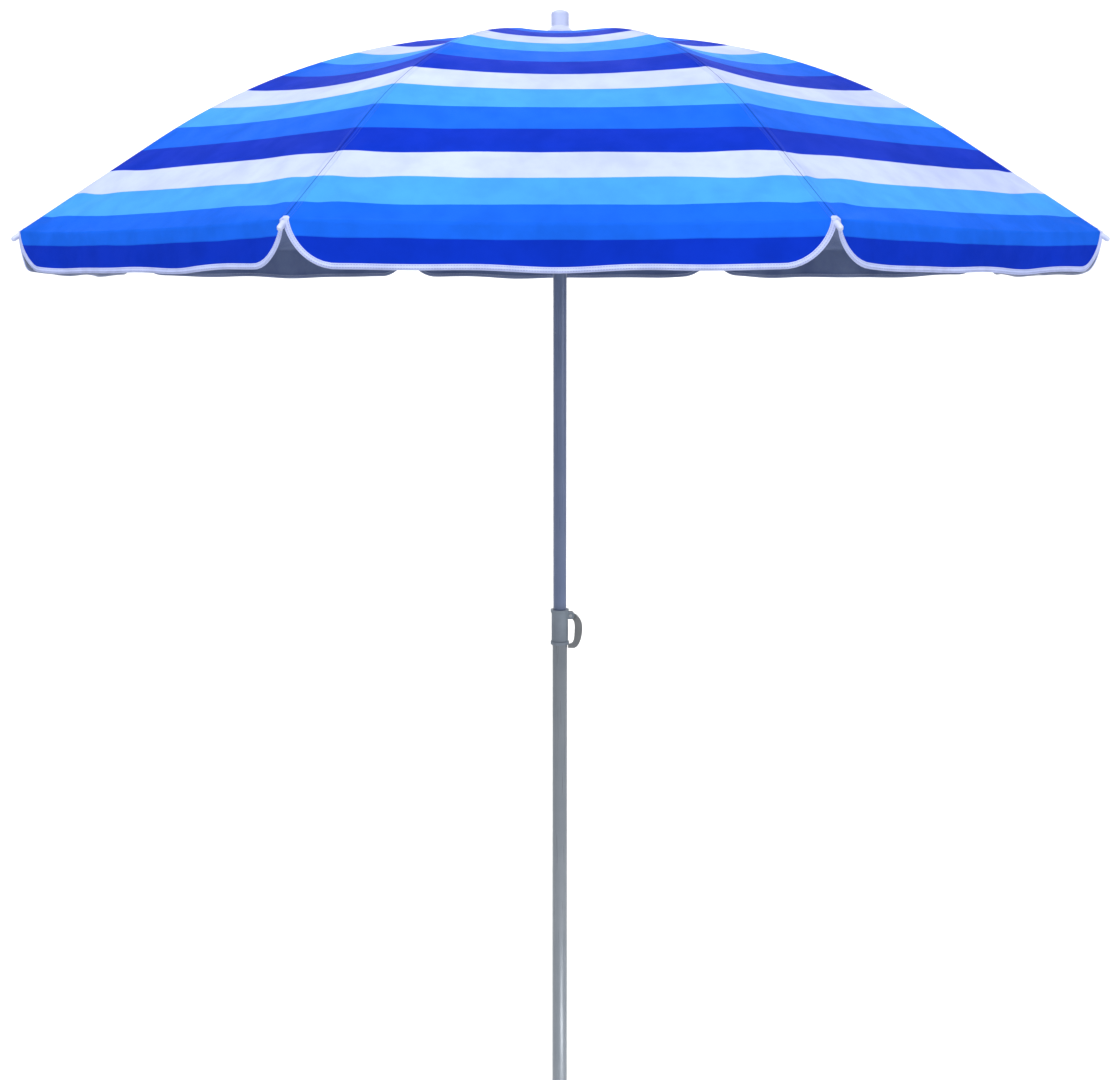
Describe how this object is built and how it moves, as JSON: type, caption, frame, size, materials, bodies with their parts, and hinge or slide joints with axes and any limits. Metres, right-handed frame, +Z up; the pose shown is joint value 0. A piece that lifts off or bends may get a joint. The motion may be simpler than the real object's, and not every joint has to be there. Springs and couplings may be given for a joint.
{
  "type": "beach umbrella",
  "caption": "Striped beach umbrella with a folding canopy, a hanging valance and a two-part telescoping pole with a collar and a lock lever.",
  "frame": {"origin": "point of the ground spike, on the axis of the pole", "axes": "+Z up along the pole, +X towards the lock lever, the ribs at 22.5 degrees from +X and every 45 degrees from there"},
  "size_m": [1.5538, 1.5538, 2.0358],
  "materials": {
    "canopy_fabric": "woven polyester, striped in white, light blue, blue and dark blue, with a silver-grey coated inner face and white binding",
    "pole_paint": "smooth semi-gloss grey paint",
    "grey_plastic": "satin moulded plastic",
    "white_plastic": "satin moulded plastic",
    "steel": "zinc-plated wire and strip",
    "rib_steel": "zinc-grey painted steel"
  },
  "bodies": {
    "lower_part": {"ground_spike": "grey_plastic", "lower_pole": "pole_paint", "height_collar": "grey_plastic", "lever_pin": "steel"},
    "lever": {"lock_lever": "grey_plastic"},
    "upper_part": {"upper_pole": "pole_paint", "pole_end_bush": "white_plastic", "crown_hub": "white_plastic", "crown_ring": "steel", "crown_pin": "steel", "crown_patch": "canopy_fabric", "finial": "white_plastic"},
    "catch": {"catch_spring": "steel"},
    "runner": {"runner": "white_plastic", "runner_ring": "steel"},
    "rib_1": {"rib_1": "rib_steel", "rib_tip_1": "white_plastic"},
    "stretcher_1": {"stretcher_1": "rib_steel"},
    "pleat_1_left": {"panel_1_left": "canopy_fabric"},
    "pleat_1_right": {"panel_1_right": "canopy_fabric"},
    "rib_2": {"rib_2": "rib_steel", "rib_tip_2": "white_plastic"},
    "stretcher_2": {"stretcher_2": "rib_steel"},
    "pleat_2_left": {"panel_2_left": "canopy_fabric"},
    "pleat_2_right": {"panel_2_right": "canopy_fabric"},
    "rib_3": {"rib_3": "rib_steel", "rib_tip_3": "white_plastic"},
    "stretcher_3": {"stretcher_3": "rib_steel"},
    "pleat_3_left": {"panel_3_left": "canopy_fabric"},
    "pleat_3_right": {"panel_3_right": "canopy_fabric"},
    "rib_4": {"rib_4": "rib_steel", "rib_tip_4": "white_plastic"},
    "stretcher_4": {"stretcher_4": "rib_steel"},
    "pleat_4_left": {"panel_4_left": "canopy_fabric"},
    "pleat_4_right": {"panel_4_right": "canopy_fabric"},
    "rib_5": {"rib_5": "rib_steel", "rib_tip_5": "white_plastic"},
    "stretcher_5": {"stretcher_5": "rib_steel"},
    "pleat_5_left": {"panel_5_left": "canopy_fabric"},
    "pleat_5_right": {"panel_5_right": "canopy_fabric"},
    "rib_6": {"rib_6": "rib_steel", "rib_tip_6": "white_plastic"},
    "stretcher_6": {"stretcher_6": "rib_steel"},
    "pleat_6_left": {"panel_6_left": "canopy_fabric"},
    "pleat_6_right": {"panel_6_right": "canopy_fabric"},
    "rib_7": {"rib_7": "rib_steel", "rib_tip_7": "white_plastic"},
    "stretcher_7": {"stretcher_7": "rib_steel"},
    "pleat_7_left": {"panel_7_left": "canopy_fabric"},
    "pleat_7_right": {"panel_7_right": "canopy_fabric"},
    "rib_8": {"rib_8": "rib_steel", "rib_tip_8": "white_plastic"},
    "stretcher_8": {"stretcher_8": "rib_steel"},
    "pleat_8_left": {"panel_8_left": "canopy_fabric"},
    "pleat_8_right": {"panel_8_right": "canopy_fabric"}
  },
  "joints": [
    {"name": "height_slide", "type": "slide", "parent": "lower_part", "child": "upper_part", "axis": [0, 0, 1], "range_m": [-0.12, 0.12]},
    {"name": "lever_swing", "type": "hinge", "parent": "lower_part", "child": "lever", "pos_m": [0.018, 0, 1.066], "axis": [0, -1, 0], "range_deg": [0, 100]},
    {"name": "canopy_fold", "type": "slide", "parent": "upper_part", "child": "runner", "axis": [0, 0, -1], "range_m": [0, 0.4918], "deforming": ["panel_1_right", "panel_1_left", "panel_2_right", "panel_2_left", "panel_3_right", "panel_3_left", "panel_4_right", "panel_4_left", "panel_5_right", "panel_5_left", "panel_6_right", "panel_6_left", "panel_7_right", "panel_7_left", "panel_8_right", "panel_8_left", "catch_spring"]},
    {"name": "catch_press", "type": "slide", "parent": "upper_part", "child": "catch", "axis": [-1, 0, 0], "range_m": [0, 0.0033], "stiffness_N_per_m": 800},
    {"name": "rib_1_hinge", "type": "hinge", "parent": "upper_part", "child": "rib_1", "pos_m": [0.01478, 0.00612, 1.9935], "axis": [-0.3827, 0.9239, 0], "range_deg": [0, 65.71]},
    {"name": "stretcher_1_hinge", "type": "hinge", "parent": "rib_1", "child": "stretcher_1", "pos_m": [0.34227, 0.14177, 1.93697], "axis": [0.3827, -0.9239, 0], "range_deg": [0, 114.55]},
    {"name": "pleat_1_left_fold", "type": "hinge", "parent": "rib_1", "child": "pleat_1_left", "pos_m": [0.5011, 0.35812, 1.9054], "axis": [-0.7836, -0.4936, 0.3773], "range_deg": [0, 85.51]},
    {"name": "pleat_1_right_fold", "type": "hinge", "parent": "rib_1", "child": "pleat_1_right", "pos_m": [0.60756, 0.1011, 1.9054], "axis": [0.9031, 0.205, -0.3773], "range_deg": [0, 85.51]},
    {"name": "rib_2_hinge", "type": "hinge", "parent": "upper_part", "child": "rib_2", "pos_m": [0.00612, 0.01478, 1.9935], "axis": [-0.9239, 0.3827, 0], "range_deg": [0, 65.71]},
    {"name": "stretcher_2_hinge", "type": "hinge", "parent": "rib_2", "child": "stretcher_2", "pos_m": [0.14177, 0.34227, 1.93697], "axis": [0.9239, -0.3827, 0], "range_deg": [0, 114.55]},
    {"name": "pleat_2_left_fold", "type": "hinge", "parent": "rib_2", "child": "pleat_2_left", "pos_m": [0.1011, 0.60756, 1.9054], "axis": [-0.205, -0.9031, 0.3773], "range_deg": [0, 85.51]},
    {"name": "pleat_2_right_fold", "type": "hinge", "parent": "rib_2", "child": "pleat_2_right", "pos_m": [0.35812, 0.5011, 1.9054], "axis": [0.4936, 0.7836, -0.3773], "range_deg": [0, 85.51]},
    {"name": "rib_3_hinge", "type": "hinge", "parent": "upper_part", "child": "rib_3", "pos_m": [-0.00612, 0.01478, 1.9935], "axis": [-0.9239, -0.3827, 0], "range_deg": [0, 65.71]},
    {"name": "stretcher_3_hinge", "type": "hinge", "parent": "rib_3", "child": "stretcher_3", "pos_m": [-0.14177, 0.34227, 1.93697], "axis": [0.9239, 0.3827, 0], "range_deg": [0, 114.55]},
    {"name": "pleat_3_left_fold", "type": "hinge", "parent": "rib_3", "child": "pleat_3_left", "pos_m": [-0.35812, 0.5011, 1.9054], "axis": [0.4936, -0.7836, 0.3773], "range_deg": [0, 85.51]},
    {"name": "pleat_3_right_fold", "type": "hinge", "parent": "rib_3", "child": "pleat_3_right", "pos_m": [-0.1011, 0.60756, 1.9054], "axis": [-0.205, 0.9031, -0.3773], "range_deg": [0, 85.51]},
    {"name": "rib_4_hinge", "type": "hinge", "parent": "upper_part", "child": "rib_4", "pos_m": [-0.01478, 0.00612, 1.9935], "axis": [-0.3827, -0.9239, 0], "range_deg": [0, 65.71]},
    {"name": "stretcher_4_hinge", "type": "hinge", "parent": "rib_4", "child": "stretcher_4", "pos_m": [-0.34227, 0.14177, 1.93697], "axis": [0.3827, 0.9239, 0], "range_deg": [0, 114.55]},
    {"name": "pleat_4_left_fold", "type": "hinge", "parent": "rib_4", "child": "pleat_4_left", "pos_m": [-0.60756, 0.1011, 1.9054], "axis": [0.9031, -0.205, 0.3773], "range_deg": [0, 85.51]},
    {"name": "pleat_4_right_fold", "type": "hinge", "parent": "rib_4", "child": "pleat_4_right", "pos_m": [-0.5011, 0.35812, 1.9054], "axis": [-0.7836, 0.4936, -0.3773], "range_deg": [0, 85.51]},
    {"name": "rib_5_hinge", "type": "hinge", "parent": "upper_part", "child": "rib_5", "pos_m": [-0.01478, -0.00612, 1.9935], "axis": [0.3827, -0.9239, 0], "range_deg": [0, 65.71]},
    {"name": "stretcher_5_hinge", "type": "hinge", "parent": "rib_5", "child": "stretcher_5", "pos_m": [-0.34227, -0.14177, 1.93697], "axis": [-0.3827, 0.9239, 0], "range_deg": [0, 114.55]},
    {"name": "pleat_5_left_fold", "type": "hinge", "parent": "rib_5", "child": "pleat_5_left", "pos_m": [-0.5011, -0.35812, 1.9054], "axis": [0.7836, 0.4936, 0.3773], "range_deg": [0, 85.51]},
    {"name": "pleat_5_right_fold", "type": "hinge", "parent": "rib_5", "child": "pleat_5_right", "pos_m": [-0.60756, -0.1011, 1.9054], "axis": [-0.9031, -0.205, -0.3773], "range_deg": [0, 85.51]},
    {"name": "rib_6_hinge", "type": "hinge", "parent": "upper_part", "child": "rib_6", "pos_m": [-0.00612, -0.01478, 1.9935], "axis": [0.9239, -0.3827, 0], "range_deg": [0, 65.71]},
    {"name": "stretcher_6_hinge", "type": "hinge", "parent": "rib_6", "child": "stretcher_6", "pos_m": [-0.14177, -0.34227, 1.93697], "axis": [-0.9239, 0.3827, 0], "range_deg": [0, 114.55]},
    {"name": "pleat_6_left_fold", "type": "hinge", "parent": "rib_6", "child": "pleat_6_left", "pos_m": [-0.1011, -0.60756, 1.9054], "axis": [0.205, 0.9031, 0.3773], "range_deg": [0, 85.51]},
    {"name": "pleat_6_right_fold", "type": "hinge", "parent": "rib_6", "child": "pleat_6_right", "pos_m": [-0.35812, -0.5011, 1.9054], "axis": [-0.4936, -0.7836, -0.3773], "range_deg": [0, 85.51]},
    {"name": "rib_7_hinge", "type": "hinge", "parent": "upper_part", "child": "rib_7", "pos_m": [0.00612, -0.01478, 1.9935], "axis": [0.9239, 0.3827, 0], "range_deg": [0, 65.71]},
    {"name": "stretcher_7_hinge", "type": "hinge", "parent": "rib_7", "child": "stretcher_7", "pos_m": [0.14177, -0.34227, 1.93697], "axis": [-0.9239, -0.3827, 0], "range_deg": [0, 114.55]},
    {"name": "pleat_7_left_fold", "type": "hinge", "parent": "rib_7", "child": "pleat_7_left", "pos_m": [0.35812, -0.5011, 1.9054], "axis": [-0.4936, 0.7836, 0.3773], "range_deg": [0, 85.51]},
    {"name": "pleat_7_right_fold", "type": "hinge", "parent": "rib_7", "child": "pleat_7_right", "pos_m": [0.1011, -0.60756, 1.9054], "axis": [0.205, -0.9031, -0.3773], "range_deg": [0, 85.51]},
    {"name": "rib_8_hinge", "type": "hinge", "parent": "upper_part", "child": "rib_8", "pos_m": [0.01478, -0.00612, 1.9935], "axis": [0.3827, 0.9239, 0], "range_deg": [0, 65.71]},
    {"name": "stretcher_8_hinge", "type": "hinge", "parent": "rib_8", "child": "stretcher_8", "pos_m": [0.34227, -0.14177, 1.93697], "axis": [-0.3827, -0.9239, 0], "range_deg": [0, 114.55]},
    {"name": "pleat_8_left_fold", "type": "hinge", "parent": "rib_8", "child": "pleat_8_left", "pos_m": [0.60756, -0.1011, 1.9054], "axis": [-0.9031, 0.205, 0.3773], "range_deg": [0, 85.51]},
    {"name": "pleat_8_right_fold", "type": "hinge", "parent": "rib_8", "child": "pleat_8_right", "pos_m": [0.5011, -0.35812, 1.9054], "axis": [0.7836, -0.4936, -0.3773], "range_deg": [0, 85.51]}
  ],
  "couplings": [
    {"joint": "rib_1_hinge", "follows": "canopy_fold", "rad_per_m": 2.3316},
    {"joint": "stretcher_1_hinge", "follows": "canopy_fold", "rad_per_m": 4.0649},
    {"joint": "pleat_1_left_fold", "follows": "canopy_fold", "rad_per_m": 3.0343},
    {"joint": "pleat_1_right_fold", "follows": "canopy_fold", "rad_per_m": 3.0343},
    {"joint": "rib_2_hinge", "follows": "canopy_fold", "rad_per_m": 2.3316},
    {"joint": "stretcher_2_hinge", "follows": "canopy_fold", "rad_per_m": 4.0649},
    {"joint": "pleat_2_left_fold", "follows": "canopy_fold", "rad_per_m": 3.0343},
    {"joint": "pleat_2_right_fold", "follows": "canopy_fold", "rad_per_m": 3.0343},
    {"joint": "rib_3_hinge", "follows": "canopy_fold", "rad_per_m": 2.3316},
    {"joint": "stretcher_3_hinge", "follows": "canopy_fold", "rad_per_m": 4.0649},
    {"joint": "pleat_3_left_fold", "follows": "canopy_fold", "rad_per_m": 3.0343},
    {"joint": "pleat_3_right_fold", "follows": "canopy_fold", "rad_per_m": 3.0343},
    {"joint": "rib_4_hinge", "follows": "canopy_fold", "rad_per_m": 2.3316},
    {"joint": "stretcher_4_hinge", "follows": "canopy_fold", "rad_per_m": 4.0649},
    {"joint": "pleat_4_left_fold", "follows": "canopy_fold", "rad_per_m": 3.0343},
    {"joint": "pleat_4_right_fold", "follows": "canopy_fold", "rad_per_m": 3.0343},
    {"joint": "rib_5_hinge", "follows": "canopy_fold", "rad_per_m": 2.3316},
    {"joint": "stretcher_5_hinge", "follows": "canopy_fold", "rad_per_m": 4.0649},
    {"joint": "pleat_5_left_fold", "follows": "canopy_fold", "rad_per_m": 3.0343},
    {"joint": "pleat_5_right_fold", "follows": "canopy_fold", "rad_per_m": 3.0343},
    {"joint": "rib_6_hinge", "follows": "canopy_fold", "rad_per_m": 2.3316},
    {"joint": "stretcher_6_hinge", "follows": "canopy_fold", "rad_per_m": 4.0649},
    {"joint": "pleat_6_left_fold", "follows": "canopy_fold", "rad_per_m": 3.0343},
    {"joint": "pleat_6_right_fold", "follows": "canopy_fold", "rad_per_m": 3.0343},
    {"joint": "rib_7_hinge", "follows": "canopy_fold", "rad_per_m": 2.3316},
    {"joint": "stretcher_7_hinge", "follows": "canopy_fold", "rad_per_m": 4.0649},
    {"joint": "pleat_7_left_fold", "follows": "canopy_fold", "rad_per_m": 3.0343},
    {"joint": "pleat_7_right_fold", "follows": "canopy_fold", "rad_per_m": 3.0343},
    {"joint": "rib_8_hinge", "follows": "canopy_fold", "rad_per_m": 2.3316},
    {"joint": "stretcher_8_hinge", "follows": "canopy_fold", "rad_per_m": 4.0649},
    {"joint": "pleat_8_left_fold", "follows": "canopy_fold", "rad_per_m": 3.0343},
    {"joint": "pleat_8_right_fold", "follows": "canopy_fold", "rad_per_m": 3.0343}
  ]
}
